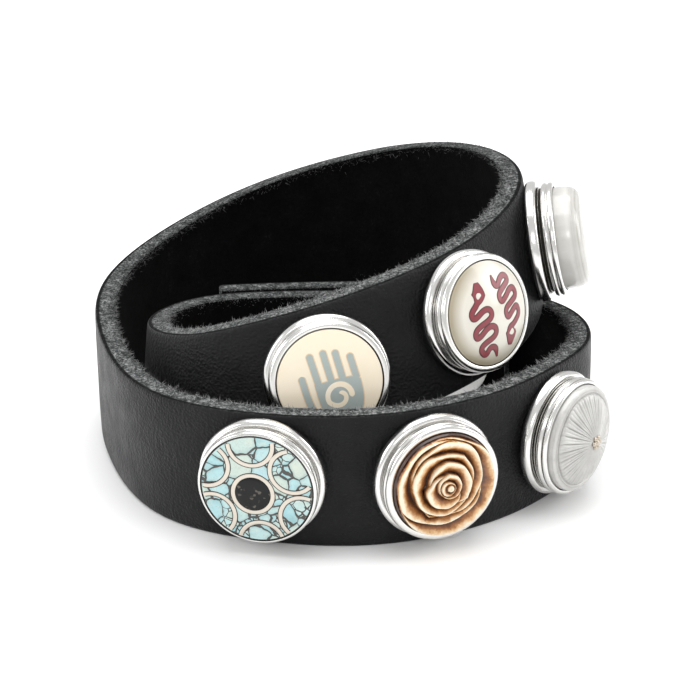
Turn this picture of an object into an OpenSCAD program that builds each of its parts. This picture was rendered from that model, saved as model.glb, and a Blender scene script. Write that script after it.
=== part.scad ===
// Double-wrap leather bracelet, fastened and lying on a table, with six snap charms.
// Millimetres. The strap stands on its edge: its napped side faces in, its smooth side out.

/* [Strap] */
// Width of the leather strap
strap_w = 21.4; // [20:0.1:21.5]
// Thickness of the leather
strap_t = 3; // [2:0.1:3]
// Bevel of the smooth side's edges
grain_bevel = 0.5; // [0.2:0.1:0.8]
// Bevel of the napped side's edges
nap_bevel = 0.3; // [0.1:0.1:0.6]
// Distance between charms along the strap
charm_pitch = 24.4; // [23:0.1:25]
// Distance from the inner end of the strap to the first charm of the raised turn
first_upper = 108.4; // [107:0.1:110]
// Distance from the inner end of the strap to the first charm of the lower turn
first_lower = 318.1; // [317:0.1:320]

/* [Snap base] */
// Outer diameter of the ring that is riveted to the strap
base_d = 19.6; // [19.2:0.1:20.2]
// Height of the ring
base_h = 1.9; // [1.6:0.1:2.2]
// Diameter of the recess in the ring
recess_d = 17.4; // [16:0.1:17.8]
// Depth of the recess in the ring
recess_depth = 0.6; // [0.4:0.1:0.8]
// Diameter of the rivet's shank through the leather
shank_d = 4; // [3:0.1:5]
// Diameter of the rivet's head on the napped side
head_d = 8; // [7:0.1:8.4]
// Thickness of the rivet's head
head_t = 0.8; // [0.5:0.1:1.2]

/* [Charm] */
// Diameter of the stud that snaps into the base
stud_d = 5; // [4:0.1:6]
// Radial play of the stud in its socket
stud_play = 0.05; // [0.02:0.01:0.1]
// Depth of the socket
socket_depth = 1.2; // [1:0.1:1.4]
// Outer diameter of the silver bezel
bezel_d = 18.4; // [18:0.1:19]
// Height of the bezel
bezel_h = 1.9; // [1.6:0.1:2.2]
// Height of the dark groove between base and bezel
groove_h = 0.7; // [0.5:0.1:1]
// Wall of the bezel's lip
lip_t = 0.8; // [0.4:0.1:0.9]
// Depth of the bezel's cup
cup_depth = 1.1; // [0.8:0.1:1.3]

/* [Inlays] */
// Height of the pearl dome above the lip
pearl_h = 4.5; // [3:0.1:5]
// Height of the snake disc's crown above the lip
snake_h = 1.4; // [1:0.1:2]
// Height of the carved rose above the lip
rose_h = 2.6; // [1.5:0.1:3.5]
// Height of the ribbed dome above the lip
rib_h = 3.4; // [2.5:0.1:4]
// Number of ribs on the ribbed dome
rib_count = 30; // [24:2:36]
// Diameter of the black stone in the mosaic
stone_d = 5.5; // [5:0.1:6]
// Width of the silver wire in the mosaic
wire_w = 0.6; // [0.4:0.1:0.8]
// Outer radius of the mosaic's six arcs
arc_r = 3.7; // [3.4:0.1:3.9]

/* [Closure] */
// Distance from the inner end of the strap to the closure stud
closure_at = 9.4; // [8:0.1:12]
// Diameter of the closure stud's two caps
closure_d = 13; // [11:0.5:13]

/* [Hidden] */
CHARMS = ["hand", "snake", "pearl", "mosaic", "rose", "rib"];
WIRES = 6;
$fn = 96;

fit_gap = 0.05;      // between pieces that are glued or pressed together
rest_gap = 0.15;     // between a base and the leather under it
hole_gap = 0.1;      // round a shank in its punched hole
head_gap = 0.55;     // under a rivet's head, over the hollow of the bent leather
cap_t = 0.9;         // thickness of the closure stud's caps
inner_cap = 0.5;     // gap under the closure stud's inner cap
outer_cap = 4.95;    // its outer cap clears both layers of leather, over the inner layer's smooth side
steps = 4;           // stations between two rows of the route
plan_shift = [0.3, -16.9, 0]; // puts the middle of the bracelet's outline over the origin

// Route of the strap, a row for every 14 mm or so: it is the control polygon of a smooth curve.
// columns: x, y and height of the middle of the width, and how far the top leans in, in degrees
route = [
    // inner end, along the table behind the raised turn
    [26, 27.5, 10.7, 0],
    [18, 30, 10.7, 0],
    [8, 31.5, 10.7, 0],
    [-3, 32, 10.7, 0],
    [-13, 31.5, 10.7, 0],
    [-24, 30, 10.8, 0],
    // tight turn at the left
    [-32, 20.5, 11.5, 2],
    [-31.5, 7.5, 13.5, 6],
    [-23.5, -4, 17, 9],
    // raised turn: along the front, climbing to the right
    [-12.5, -7, 21, 10],
    [-0.5, -5, 24, 10],
    [10.5, -1.5, 27, 13],
    [21, 8, 29, 15],
    [28, 21, 31.5, 12],
    [28.5, 33, 34, 9],
    // along the back, coming down to the left
    [20, 48, 32, 4],
    [7, 56, 28, -1],
    [-10.5, 58, 22.5, -4],
    [-25.5, 53, 17, -3],
    [-36.5, 42, 13.5, -1],
    // lower turn: round the left and along the front on the table
    [-41, 28, 12, 0],
    [-37.5, 8.5, 11, -3],
    [-30, -11, 10.8, -5],
    [-13, -18, 10.8, -3],
    [4.5, -19.5, 10.7, 0],
    [22.5, -10.5, 10.7, 0],
    [32, 2, 10.7, 0],
    // turn at the right, then back under the raised turn to the outer end
    [38, 11.5, 10.7, 0],
    [36, 25.5, 10.7, 0],
    [24, 34, 10.7, 0],
    [9, 36.5, 10.7, 0],
    [-6, 36, 10.7, 0],
    [-17, 35, 10.7, 0],
    [-21.6, 34.3, 10.7, 0]
];

// How far each charm sits above or below the middle of the strap's width
charm_rise = [-0.7, 0.2, -0.3, 0.7, 0.45, 0.35];

// The six silver arcs of the mosaic.
// columns: direction from the black stone, distance of the arc's centre from the stone's
mosaic_arcs = [[92, 8.1], [35, 7.4], [-23, 8.2], [-81, 8.1], [-147, 7.4], [150, 8.2]];
stone_shift = [-0.6, -0.9]; // the black stone sits a little off the middle

// Whorls of the carved rose, from the middle out. Each has three petals, and each petal's rim
// winds in under its neighbour's.
// columns: radius at the petal's outer end, how far the rim winds in, direction of the first end, height of the rim
whorls = [
    [1.5, 0.6, 200, 1],
    [3.1, 0.9, 80, 0.95],
    [4.9, 1.1, 20, 0.8],
    [6.7, 1.3, 75, 0.58],
    [8.2, 1.2, 10, 0.34]
];
whorl_petals = 3;
valley = 0.7;        // depth of the hollow inside each rim
rim_step = 0.15;     // width of the steep fall outside each rim
around_rose = 60;    // facets round the rose
around_rib = 4;      // facets to each rib

last_row = len(route) - 1;
station_count = last_row * steps;
half_w = strap_w / 2;
half_t = strap_t / 2;
lip_at = base_h + groove_h + bezel_h + rest_gap;  // height of the bezel's lip over the leather
cup_r = bezel_d / 2 - lip_t;
cup_at = lip_at - cup_depth;
inlay_r = cup_r - fit_gap;

// Smooth curve through the route
function row_at(i) = i < 0 ? 2 * route[0] - route[1]
    : i > last_row ? 2 * route[last_row] - route[last_row - 1]
    : route[i];
function blend(u) = [pow(1 - u, 3), 3 * pow(u, 3) - 6 * u * u + 4,
    -3 * pow(u, 3) + 3 * u * u + 3 * u + 1, pow(u, 3)] / 6;
function station(t) = let (i = floor(t), w = blend(t - i))
    w[0] * row_at(i - 1) + w[1] * row_at(i) + w[2] * row_at(i + 1) + w[3] * row_at(i + 2);
function place(t) = let (s = station(t)) [s.x, s.y, s.z] + plan_shift;

// Frame of the strap: along it, up its width, out of its smooth side, and the middle point
function frame_at(t) =
    let (
        a = max(0, t - 0.05), b = min(last_row, t + 0.05),
        along = place(b) - place(a), unit = along / norm(along),
        flat = cross(unit, [0, 0, 1]), side = flat / norm(flat), rise = cross(side, unit),
        lean = station(t)[3]
    )
    [unit, rise * cos(lean) - side * sin(lean), side * cos(lean) + rise * sin(lean), place(t)];

// Distance along the strap, and the station at a distance
fine = 8;
lengths = [for (i = 0, s = 0; i <= last_row * fine; s = s + norm(place((i + 1) / fine) - place(i / fine)),
    i = i + 1) [s, i / fine]];
function at_length(s) = lookup(s, lengths);
function charm_at(i) = at_length(i < 3 ? first_upper + i * charm_pitch : first_lower + (i - 3) * charm_pitch);

// Section of the strap: distance up the width, distance out of the smooth side
section = [
    [-half_w + grain_bevel, half_t], [half_w - grain_bevel, half_t],
    [half_w, half_t - grain_bevel], [half_w, -half_t + nap_bevel],
    [half_w - nap_bevel, -half_t], [-half_w + nap_bevel, -half_t],
    [-half_w, -half_t + nap_bevel], [-half_w, half_t - grain_bevel]
];

// Turns local shapes, drawn round Z with Z out of the leather, into their place on the strap
module on_strap(t, rise = 0) {
    f = frame_at(t);
    p = f[3] + f[1] * rise + f[2] * half_t;
    multmatrix([
        [f[0].x, f[1].x, f[2].x, p.x],
        [f[0].y, f[1].y, f[2].y, p.y],
        [f[0].z, f[1].z, f[2].z, p.z]
    ]) children();
}

module at_charm(i) {
    on_strap(charm_at(i), charm_rise[i]) children();
}

module leather() {
    n = len(section);
    points = [for (k = [0 : station_count]) let (f = frame_at(k / steps))
        for (q = section) f[3] + f[1] * q[0] + f[2] * q[1]];
    walls = [for (k = [0 : station_count - 1], j = [0 : n - 1]) let (a = k * n + j, b = k * n + (j + 1) % n)
        each [[a, a + n, b], [b, a + n, b + n]]];
    ends = [[for (j = [0 : n - 1]) j], [for (j = [n - 1 : -1 : 0]) station_count * n + j]];
    polyhedron(points, concat(walls, ends));
}

module strap() {
    color([0.1, 0.1, 0.11]) difference() {
        leather();
        for (i = [0 : len(CHARMS) - 1])
            at_charm(i) translate([0, 0, -2 * strap_t]) cylinder(d = shank_d + 2 * hole_gap, h = 3 * strap_t);
        on_strap(at_length(closure_at))
            translate([0, 0, -2 * strap_t]) cylinder(d = shank_d + 2 * hole_gap, h = 6 * strap_t);
    }
}

// Rounded silver ring with a socket, riveted through the leather
module snap_base(i) {
    r = base_d / 2;
    under = -strap_t - head_gap;
    color([0.86, 0.86, 0.88]) at_charm(i) rotate_extrude() polygon([
        [0, under - head_t], [head_d / 2 - 0.3, under - head_t], [head_d / 2, under - head_t + 0.3],
        [head_d / 2, under], [shank_d / 2, under], [shank_d / 2, rest_gap],
        [r - 0.5, rest_gap], [r - 0.15, rest_gap + 0.25], [r, rest_gap + 0.7],
        [r - 0.05, rest_gap + 1.15], [r - 0.3, rest_gap + base_h - 0.35], [r - 0.75, rest_gap + base_h - 0.05],
        [r - 1, rest_gap + base_h], [recess_d / 2, rest_gap + base_h],
        [recess_d / 2, rest_gap + base_h - recess_depth],
        [stud_d / 2 + stud_play, rest_gap + base_h - recess_depth],
        [stud_d / 2 + stud_play, rest_gap + base_h - socket_depth],
        [0, rest_gap + base_h - socket_depth]
    ]);
}

// Silver cup with its stud: it turns in the base
module bezel(i) {
    r = bezel_d / 2;
    low = rest_gap + base_h;
    skirt = low - recess_depth + 0.15;
    foot = low + groove_h;
    color([0.83, 0.83, 0.85]) at_charm(i) rotate_extrude() polygon([
        [0, low - socket_depth + 0.15], [stud_d / 2, low - socket_depth + 0.15], [stud_d / 2, skirt],
        [recess_d / 2 - 0.3, skirt], [recess_d / 2 - 0.3, foot],
        [r - 0.4, foot], [r - 0.1, foot + 0.15], [r, foot + 0.45], [r - 0.05, foot + 0.8],
        [r - 0.25, foot + 0.95], [r - 0.12, foot + 1.1], [r - 0.1, lip_at - 0.35], [r - 0.25, lip_at - 0.08],
        [r - 0.4, lip_at], [cup_r, lip_at], [cup_r, cup_at], [0, cup_at]
    ]);
}

// Disc with a low spherical crown that fills a bezel's cup
module crowned(rim, crown, r = inlay_r) {
    ball = (r * r + crown * crown) / (2 * crown);
    intersection() {
        translate([0, 0, cup_at + fit_gap]) cylinder(r = r, h = rim + crown + cup_depth);
        translate([0, 0, lip_at + rim + crown - ball]) sphere(r = ball);
    }
}

module hand_disc() {
    color([0.93, 0.9, 0.8]) at_charm(0)
        translate([0, 0, cup_at + fit_gap]) cylinder(r = inlay_r, h = cup_depth);
}

module snake_disc() {
    color([0.93, 0.92, 0.86]) at_charm(1) crowned(0.1, snake_h);
}

module pearl_dome() {
    r = inlay_r;
    top = lip_at + pearl_h;
    color([0.88, 0.88, 0.86]) at_charm(2) rotate_extrude() polygon(concat(
        [[0, cup_at + fit_gap], [r, cup_at + fit_gap], [r, lip_at + 1.6]],
        [for (a = [10 : 10 : 80]) [r * (0.72 + 0.28 * cos(a)), lip_at + 1.6 + (pearl_h - 2) * sin(a)]],
        [[r * 0.5, top - 0.15], [0, top]]
    ));
}

module mosaic_disc() {
    color([0.62, 0.82, 0.82]) at_charm(3) difference() {
        translate([0, 0, cup_at + fit_gap]) cylinder(r = inlay_r, h = cup_depth - 0.2);
        translate([stone_shift.x, stone_shift.y, lip_at - 0.5]) cylinder(d = stone_d + 2 * fit_gap, h = 1);
    }
}

module black_stone() {
    color([0.12, 0.12, 0.13]) at_charm(3)
        translate([stone_shift.x, stone_shift.y, lip_at - 0.45]) cylinder(d = stone_d - 0.2, h = 0.5);
}

module wire_loop(r) {
    translate([0, 0, lip_at - 0.1]) difference() {
        cylinder(r = r, h = 0.15);
        translate([0, 0, -1]) cylinder(r = r - wire_w, h = 3);
    }
}

module mosaic_ring() {
    color([0.85, 0.84, 0.82]) at_charm(3)
        translate([stone_shift.x, stone_shift.y, 0]) wire_loop(stone_d / 2 + wire_w);
}

module mosaic_arc(i) {
    arc = mosaic_arcs[i - 1];
    color([0.85, 0.84, 0.82]) at_charm(3) intersection() {
        translate([stone_shift.x + arc[1] * cos(arc[0]), stone_shift.y + arc[1] * sin(arc[0]), 0]) wire_loop(arc_r);
        translate([0, 0, lip_at - 1]) cylinder(r = inlay_r - 0.1, h = 3);
    }
}

// Radius of a whorl's rim in a direction: it winds in along each petal, then jumps to the next one's end
function rim_radius(w, a) = let (turn = (a - w[2] + 720) * whorl_petals / 360) w[0] - w[1] * (turn - floor(turn));

// Round solid over a flat floor: radii and tops hold a row for each ring, from the middle out
module relief(radii, tops, floor_z) {
    n = len(radii);
    around = len(radii[0]);
    points = concat(
        [[0, 0, floor_z]],
        [for (j = [0 : around - 1]) let (a = 360 * j / around, r = radii[n - 1][j]) [r * cos(a), r * sin(a), floor_z]],
        [for (i = [0 : n - 1], j = [0 : around - 1]) let (a = 360 * j / around, r = radii[i][j])
            [r * cos(a), r * sin(a), tops[i][j]]],
        [[0, 0, tops[0][0]]]
    );
    first = 1 + around;
    rim = first + (n - 1) * around;
    peak = first + n * around;
    polyhedron(points, concat(
        [for (j = [0 : around - 1]) [0, 1 + j, 1 + (j + 1) % around]],
        [for (j = [0 : around - 1]) let (k = (j + 1) % around)
            each [[1 + j, rim + j, rim + k], [1 + j, rim + k, 1 + k]]],
        [for (i = [0 : n - 2], j = [0 : around - 1]) let (k = (j + 1) % around, a = first + i * around)
            each [[a + j, a + k, a + around + k], [a + j, a + around + k, a + around + j]]],
        [for (j = [0 : around - 1]) [peak, first + (j + 1) % around, first + j]]
    ));
}

// Three rings to each whorl: the hollow inside its rim, the rim, and the foot of the rim's outer side
module rose_carving() {
    ring_of = [for (w = whorls) each [[w, -0.9, -valley], [w, -rim_step, 0], [w, 0, -valley]]];
    angles = [for (j = [0 : around_rose - 1]) 360 * j / around_rose];
    radii = concat(
        [for (q = ring_of) [for (a = angles) max(0.3, rim_radius(q[0], a) + q[1])]],
        [[for (a = angles) inlay_r]]
    );
    tops = concat(
        [for (q = ring_of) [for (a = angles) lip_at + rose_h * q[0][3] + q[2]]],
        [[for (a = angles) lip_at - 0.1]]
    );
    color([0.85, 0.76, 0.6]) at_charm(4) relief(radii, tops, cup_at + fit_gap);
}

// columns of the profile: radius, height as a share of the dome's, height of the ribs
module rib_dome() {
    profile = [[1.2, 1, 0], [3.2, 0.82, 0.25], [5.4, 0.6, 0.3], [7, 0.42, 0.15],
        [7.15, 0.3, 0], [inlay_r - 0.25, 0.3, 0], [inlay_r, 0.18, 0]];
    around = rib_count * around_rib;
    color([0.85, 0.85, 0.83]) at_charm(5) relief(
        [for (q = profile) [for (j = [0 : around - 1]) q[0]]],
        [for (q = profile) [for (j = [0 : around - 1])
            lip_at + q[1] * rib_h + q[2] * (abs(j % around_rib - 2) / 2 - 0.5)]],
        cup_at + fit_gap
    );
}

module rib_knob() {
    color([0.85, 0.76, 0.58]) at_charm(5)
        translate([0, 0, lip_at + rib_h + fit_gap]) cylinder(d = 2, h = 0.6);
}

// Plain stud through both ends of the strap, with a flat cap on each side
module closure_stud() {
    inner = -strap_t - inner_cap;
    r = closure_d / 2;
    color([0.84, 0.84, 0.86]) on_strap(at_length(closure_at)) rotate_extrude() polygon([
        [0, inner - cap_t], [r - 0.5, inner - cap_t], [r, inner - cap_t / 2], [r, inner],
        [shank_d / 2, inner], [shank_d / 2, outer_cap], [r, outer_cap], [r, outer_cap + cap_t / 2],
        [r - 0.5, outer_cap + cap_t], [0, outer_cap + cap_t]
    ]);
}

strap();
closure_stud();
for (i = [0 : len(CHARMS) - 1]) {
    snap_base(i);
    bezel(i);
}
hand_disc();
snake_disc();
pearl_dome();
mosaic_disc();
rose_carving();
rib_dome();
mosaic_ring();
black_stone();
rib_knob();
for (i = [1 : WIRES])
    mosaic_arc(i);
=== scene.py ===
# Black leather wrap bracelet with six snap charms, lying on a pale table
import bpy, random
from math import sin, cos, pi, radians, floor, sqrt, exp, atan2, hypot
from mathutils import Vector, Matrix, noise


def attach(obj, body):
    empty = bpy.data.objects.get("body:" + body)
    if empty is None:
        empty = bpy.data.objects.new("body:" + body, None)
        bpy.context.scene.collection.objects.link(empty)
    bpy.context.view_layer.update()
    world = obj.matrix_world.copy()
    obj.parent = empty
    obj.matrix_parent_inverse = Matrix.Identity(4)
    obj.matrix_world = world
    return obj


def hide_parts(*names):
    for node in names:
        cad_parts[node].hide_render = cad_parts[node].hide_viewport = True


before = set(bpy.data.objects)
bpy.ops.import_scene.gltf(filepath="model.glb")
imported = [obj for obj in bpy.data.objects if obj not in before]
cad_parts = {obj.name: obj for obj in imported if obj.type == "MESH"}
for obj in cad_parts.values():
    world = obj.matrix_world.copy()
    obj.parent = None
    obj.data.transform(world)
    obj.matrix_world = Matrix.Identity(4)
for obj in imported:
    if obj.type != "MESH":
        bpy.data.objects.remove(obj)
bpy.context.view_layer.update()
scene = bpy.context.scene
mm = 0.001
print("frame loaded")

# the strap's route, as in the part's source, in millimetres
strap = {
    "width": 21.4, "thick": 3,
    "planShift": (0.3, -16.9, 0),
    # distances along the strap, and each charm's rise over the strap's middle line
    "firstUpper": 108.4, "firstLower": 318.1, "pitch": 24.4, "closureAt": 9.4,
    "charmRise": [-0.7, 0.2, -0.3, 0.7, 0.45, 0.35],
    # its length is measured in so many steps from row to row
    "steps": 8,
    # x, y, height of the middle, lean in degrees
    "route": [
        [26, 27.5, 10.7, 0], [18, 30, 10.7, 0], [8, 31.5, 10.7, 0], [-3, 32, 10.7, 0],
        [-13, 31.5, 10.7, 0], [-24, 30, 10.8, 0], [-32, 20.5, 11.5, 2], [-31.5, 7.5, 13.5, 6],
        [-23.5, -4, 17, 9], [-12.5, -7, 21, 10], [-0.5, -5, 24, 10], [10.5, -1.5, 27, 13],
        [21, 8, 29, 15], [28, 21, 31.5, 12], [28.5, 33, 34, 9], [20, 48, 32, 4],
        [7, 56, 28, -1], [-10.5, 58, 22.5, -4], [-25.5, 53, 17, -3], [-36.5, 42, 13.5, -1],
        [-41, 28, 12, 0], [-37.5, 8.5, 11, -3], [-30, -11, 10.8, -5], [-13, -18, 10.8, -3],
        [4.5, -19.5, 10.7, 0], [22.5, -10.5, 10.7, 0], [32, 2, 10.7, 0], [38, 11.5, 10.7, 0],
        [36, 25.5, 10.7, 0], [24, 34, 10.7, 0], [9, 36.5, 10.7, 0], [-6, 36, 10.7, 0],
        [-17, 35, 10.7, 0], [-21.6, 34.3, 10.7, 0],
    ],
}
route = [Vector(row) for row in strap["route"]]
lastRow = len(route) - 1

def routeRow(i):
    if i < 0:
        return 2 * route[0] - route[1]
    if i > lastRow:
        return 2 * route[lastRow] - route[lastRow - 1]
    return route[i]

def station(t):
    i = floor(t)
    u = t - i
    w = ((1 - u) ** 3, 3 * u ** 3 - 6 * u * u + 4, -3 * u ** 3 + 3 * u * u + 3 * u + 1, u ** 3)
    return sum((routeRow(i - 1 + k) * w[k] for k in range(4)), Vector((0, 0, 0, 0))) / 6

def strapFrame(t, near=0.05):
    here = station(t)
    along = (station(min(lastRow, t + near)) - station(max(0, t - near))).to_3d().normalized()
    side = along.cross(Vector((0, 0, 1))).normalized()
    rise = side.cross(along)
    lean = radians(here[3])
    up = rise * cos(lean) - side * sin(lean)
    out = side * cos(lean) + rise * sin(lean)
    return along, up, out, here.to_3d() + Vector(strap["planShift"])

# distance along the strap, measured in the same steps as in the source
stepCount = lastRow * strap["steps"]
lengths = [0.0]
for i in range(stepCount):
    a, b = station(i / strap["steps"]).to_3d(), station((i + 1) / strap["steps"]).to_3d()
    lengths.append(lengths[-1] + (b - a).length)
strapLength = lengths[-1]

def stationAt(s):
    s = min(max(s, 0), strapLength)
    for i in range(stepCount):
        if lengths[i + 1] >= s:
            return (i + (s - lengths[i]) / (lengths[i + 1] - lengths[i])) / strap["steps"]
    return lastRow

def placeOnStrap(s, rise=0):
    # matrix from a shape drawn round Z in millimetres to its place on the strap in metres
    along, up, out, mid = strapFrame(stationAt(s))
    p = (mid + up * rise + out * strap["thick"] / 2) * mm
    return Matrix((
        (along.x * mm, up.x * mm, out.x * mm, p.x),
        (along.y * mm, up.y * mm, out.y * mm, p.y),
        (along.z * mm, up.z * mm, out.z * mm, p.z),
        (0, 0, 0, 1)))

charmNames = ["hand", "snake", "pearl", "mosaic", "rose", "rib"]
charmPlace = {}
for i, name in enumerate(charmNames):
    first = strap["firstUpper"] if i < 3 else strap["firstLower"]
    charmPlace[name] = placeOnStrap(first + (i % 3) * strap["pitch"], strap["charmRise"][i])
print("route ready, strap length", round(strapLength, 1), "mm")

# small helpers
def deselectAll():
    if bpy.context.object and bpy.context.object.mode != "OBJECT":
        bpy.ops.object.mode_set(mode="OBJECT")
    bpy.ops.object.select_all(action="DESELECT")

def makeActive(obj):
    deselectAll()
    obj.select_set(True)
    bpy.context.view_layer.objects.active = obj

def editAll(obj):
    # edit mode, with the whole mesh selected
    makeActive(obj)
    bpy.ops.object.mode_set(mode="EDIT")
    bpy.ops.mesh.select_all(action="SELECT")

def leaveEdit():
    bpy.ops.object.mode_set(mode="OBJECT")

def applyModifier(obj, kind, **settings):
    makeActive(obj)
    mod = obj.modifiers.new(kind.lower(), kind)
    for key, value in settings.items():
        setattr(mod, key, value)
    bpy.ops.object.modifier_apply(modifier=mod.name)

def smoothByAngle(obj, degrees):
    makeActive(obj)
    bpy.ops.object.shade_smooth_by_angle(angle=radians(degrees))

def facesOutward(obj, merge=True):
    editAll(obj)
    if merge:
        bpy.ops.mesh.remove_doubles(threshold=0.0005)
    bpy.ops.mesh.normals_make_consistent(inside=False)
    leaveEdit()

def turned(name, profile, around=96):
    # a disc is extruded along a profile of (radius, height) in millimetres, as on a lathe
    deselectAll()
    r, z = profile[0]
    bpy.ops.mesh.primitive_circle_add(vertices=around, radius=r, fill_type="NGON", location=(0, 0, z))
    obj = bpy.context.object
    obj.name = name
    bpy.ops.object.transform_apply(location=True)
    editAll(obj)
    for nextR, nextZ in profile[1:]:
        bpy.ops.mesh.extrude_region_move(TRANSFORM_OT_translate={"value": (0, 0, nextZ - z)})
        bpy.ops.transform.resize(value=(nextR / r, nextR / r, 1), center_override=(0, 0, nextZ))
        r, z = nextR, nextZ
    leaveEdit()
    facesOutward(obj)
    return obj

def moveFlat(obj, x, y):
    obj.data.transform(Matrix.Translation((x, y, 0)))

planeHalf = 10  # a charm's UV map covers so many millimetres to each side of its middle

def localUv(obj):
    layer = obj.data.uv_layers.active or obj.data.uv_layers.new(name="plane")
    for loop in obj.data.loops:
        v = obj.data.vertices[loop.vertex_index].co
        layer.data[loop.index].uv = (v.x / (2 * planeHalf) + 0.5, v.y / (2 * planeHalf) + 0.5)

def finish(obj, name, place, material, body, nodes=()):
    # the matrix takes the shape's own millimetres to its place, and the nodes are the solids it stands for
    obj.name = name
    obj.data.name = name
    obj.data.transform(place)
    obj.data.update()
    if material:
        obj.data.materials.clear()
        obj.data.materials.append(material)
    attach(obj, body)
    if nodes:
        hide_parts(*nodes)

def copyOf(obj):
    twin = obj.copy()
    twin.data = obj.data.copy()
    bpy.context.collection.objects.link(twin)
    return twin

def meshPiece(name, points, faces):
    data = bpy.data.meshes.new(name)
    data.from_pydata(points, [], faces)
    data.validate()
    obj = bpy.data.objects.new(name, data)
    bpy.context.collection.objects.link(obj)
    return obj

def markPoints(obj, name, values):
    # a number at each point of the mesh, which its material reads
    layer = obj.data.attributes.new(name, "FLOAT", "POINT")
    for k, value in enumerate(values):
        layer.data[k].value = value

def carvedPiece(name, points, faces, mark, values):
    obj = meshPiece(name, points, faces)
    markPoints(obj, mark, values)
    facesOutward(obj, merge=False)
    return obj

def circlePoints(radius, z, count):
    return [(radius * cos(2 * pi * j / count), radius * sin(2 * pi * j / count), z) for j in range(count)]

def ringFaces(first, second, count):
    # faces between two rings of points, each given by the number of its first point
    return [(first + j, second + j, second + (j + 1) % count, first + (j + 1) % count) for j in range(count)]

def arcPoints(cx, cz, rx, rz, fromDeg, toDeg, count):
    angles = [radians(fromDeg + (toDeg - fromDeg) * k / (count - 1)) for k in range(count)]
    return [(cx + rx * cos(a), cz + rz * sin(a)) for a in angles]

# materials
class Finish:
    # a material with its Principled shader and short calls for the nodes round it
    def __init__(self, name, color, rough, metal=0.0, **sockets):
        self.mat = bpy.data.materials.new(name)
        self.mat.use_nodes = True
        self.tree = self.mat.node_tree
        self.shader = self.tree.nodes["Principled BSDF"]
        self.set("Base Color", (*color, 1))
        self.set("Roughness", rough)
        self.set("Metallic", metal)
        for key, value in sockets.items():
            self.set(key.replace("_", " "), value)
        self.mat.diffuse_color = (*color, 1)

    def set(self, socket, value):
        self.shader.inputs[socket].default_value = value

    def feed(self, made, key, value):
        if isinstance(value, bpy.types.NodeSocket):
            self.tree.links.new(value, made.inputs[key])
        else:
            made.inputs[key].default_value = value

    def node(self, kind, inputs=None, **settings):
        made = self.tree.nodes.new(kind)
        for key, value in settings.items():
            setattr(made, key, value)
        for key, value in (inputs or {}).items():
            self.feed(made, key, value)
        return made

    def link(self, out, socket="Base Color"):
        self.tree.links.new(out, self.shader.inputs[socket])

    def coords(self, which="Object"):
        return self.node("ShaderNodeTexCoord").outputs[which]

    def fromMiddle(self):
        # place and distance from the middle of a charm's own plane
        flat = self.vector("SUBTRACT", self.coords("UV"), (0.5, 0.5, 0))
        return flat, self.vector("LENGTH", flat, out="Value")

    def attribute(self, name):
        return self.node("ShaderNodeAttribute", attribute_name=name).outputs["Fac"]

    def axis(self, vector, name):
        return self.node("ShaderNodeSeparateXYZ", {"Vector": vector}).outputs[name]

    def channel(self, color, name):
        return self.node("ShaderNodeSeparateColor", {"Color": color}).outputs[name]

    def noise(self, vector, scale, detail=3, rough=0.5, out="Fac"):
        return self.node("ShaderNodeTexNoise", {"Vector": vector, "Scale": scale, "Detail": detail,
                         "Roughness": rough}).outputs[out]

    def cells(self, vector, scale, out, feature="F1", **inputs):
        return self.node("ShaderNodeTexVoronoi", {"Vector": vector, "Scale": scale, **inputs},
                         feature=feature).outputs[out]

    def ramp(self, fac, stops):
        # stops: place, color
        made = self.node("ShaderNodeValToRGB", {"Fac": fac})
        bar = made.color_ramp
        for k, (at, color) in enumerate(stops):
            stop = bar.elements[k] if k < 2 else bar.elements.new(at)
            stop.position = at
            stop.color = (*color, 1)
        return made.outputs["Color"]

    def range(self, value, lo, hi, outLo, outHi):
        return self.node("ShaderNodeMapRange", {"Value": value, "From Min": lo, "From Max": hi,
                         "To Min": outLo, "To Max": outHi}).outputs["Result"]

    def mix(self, fac, a, b, how="MIX"):
        # sockets 6 and 7 are the node's two colors
        made = self.node("ShaderNodeMix", {0: fac}, data_type="RGBA", blend_type=how)
        for key, color in ((6, a), (7, b)):
            self.feed(made, key, (*color, 1) if isinstance(color, tuple) else color)
        return made.outputs[2]

    def math(self, how, a, b=0.0):
        return self.node("ShaderNodeMath", {0: a, 1: b}, operation=how).outputs[0]

    def vector(self, how, a, b=(0, 0, 0), out="Vector"):
        return self.node("ShaderNodeVectorMath", {0: a, 1: b}, operation=how).outputs[out]

    def blend(self, a, shareA, b, shareB):
        return self.math("ADD", self.math("MULTIPLY", a, shareA), self.math("MULTIPLY", b, shareB))

    def bump(self, height, strength, distance):
        made = self.node("ShaderNodeBump", {"Height": height, "Strength": strength, "Distance": distance})
        self.link(made.outputs["Normal"], "Normal")

def grey(v):
    return (v, v, v)

def frontToBack(f, p, atFront, atBack):
    # one value at the bracelet's front, another at its back, in metres along Y
    return f.range(f.axis(p, "Y"), -0.02, 0.03, atFront, atBack)

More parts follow.
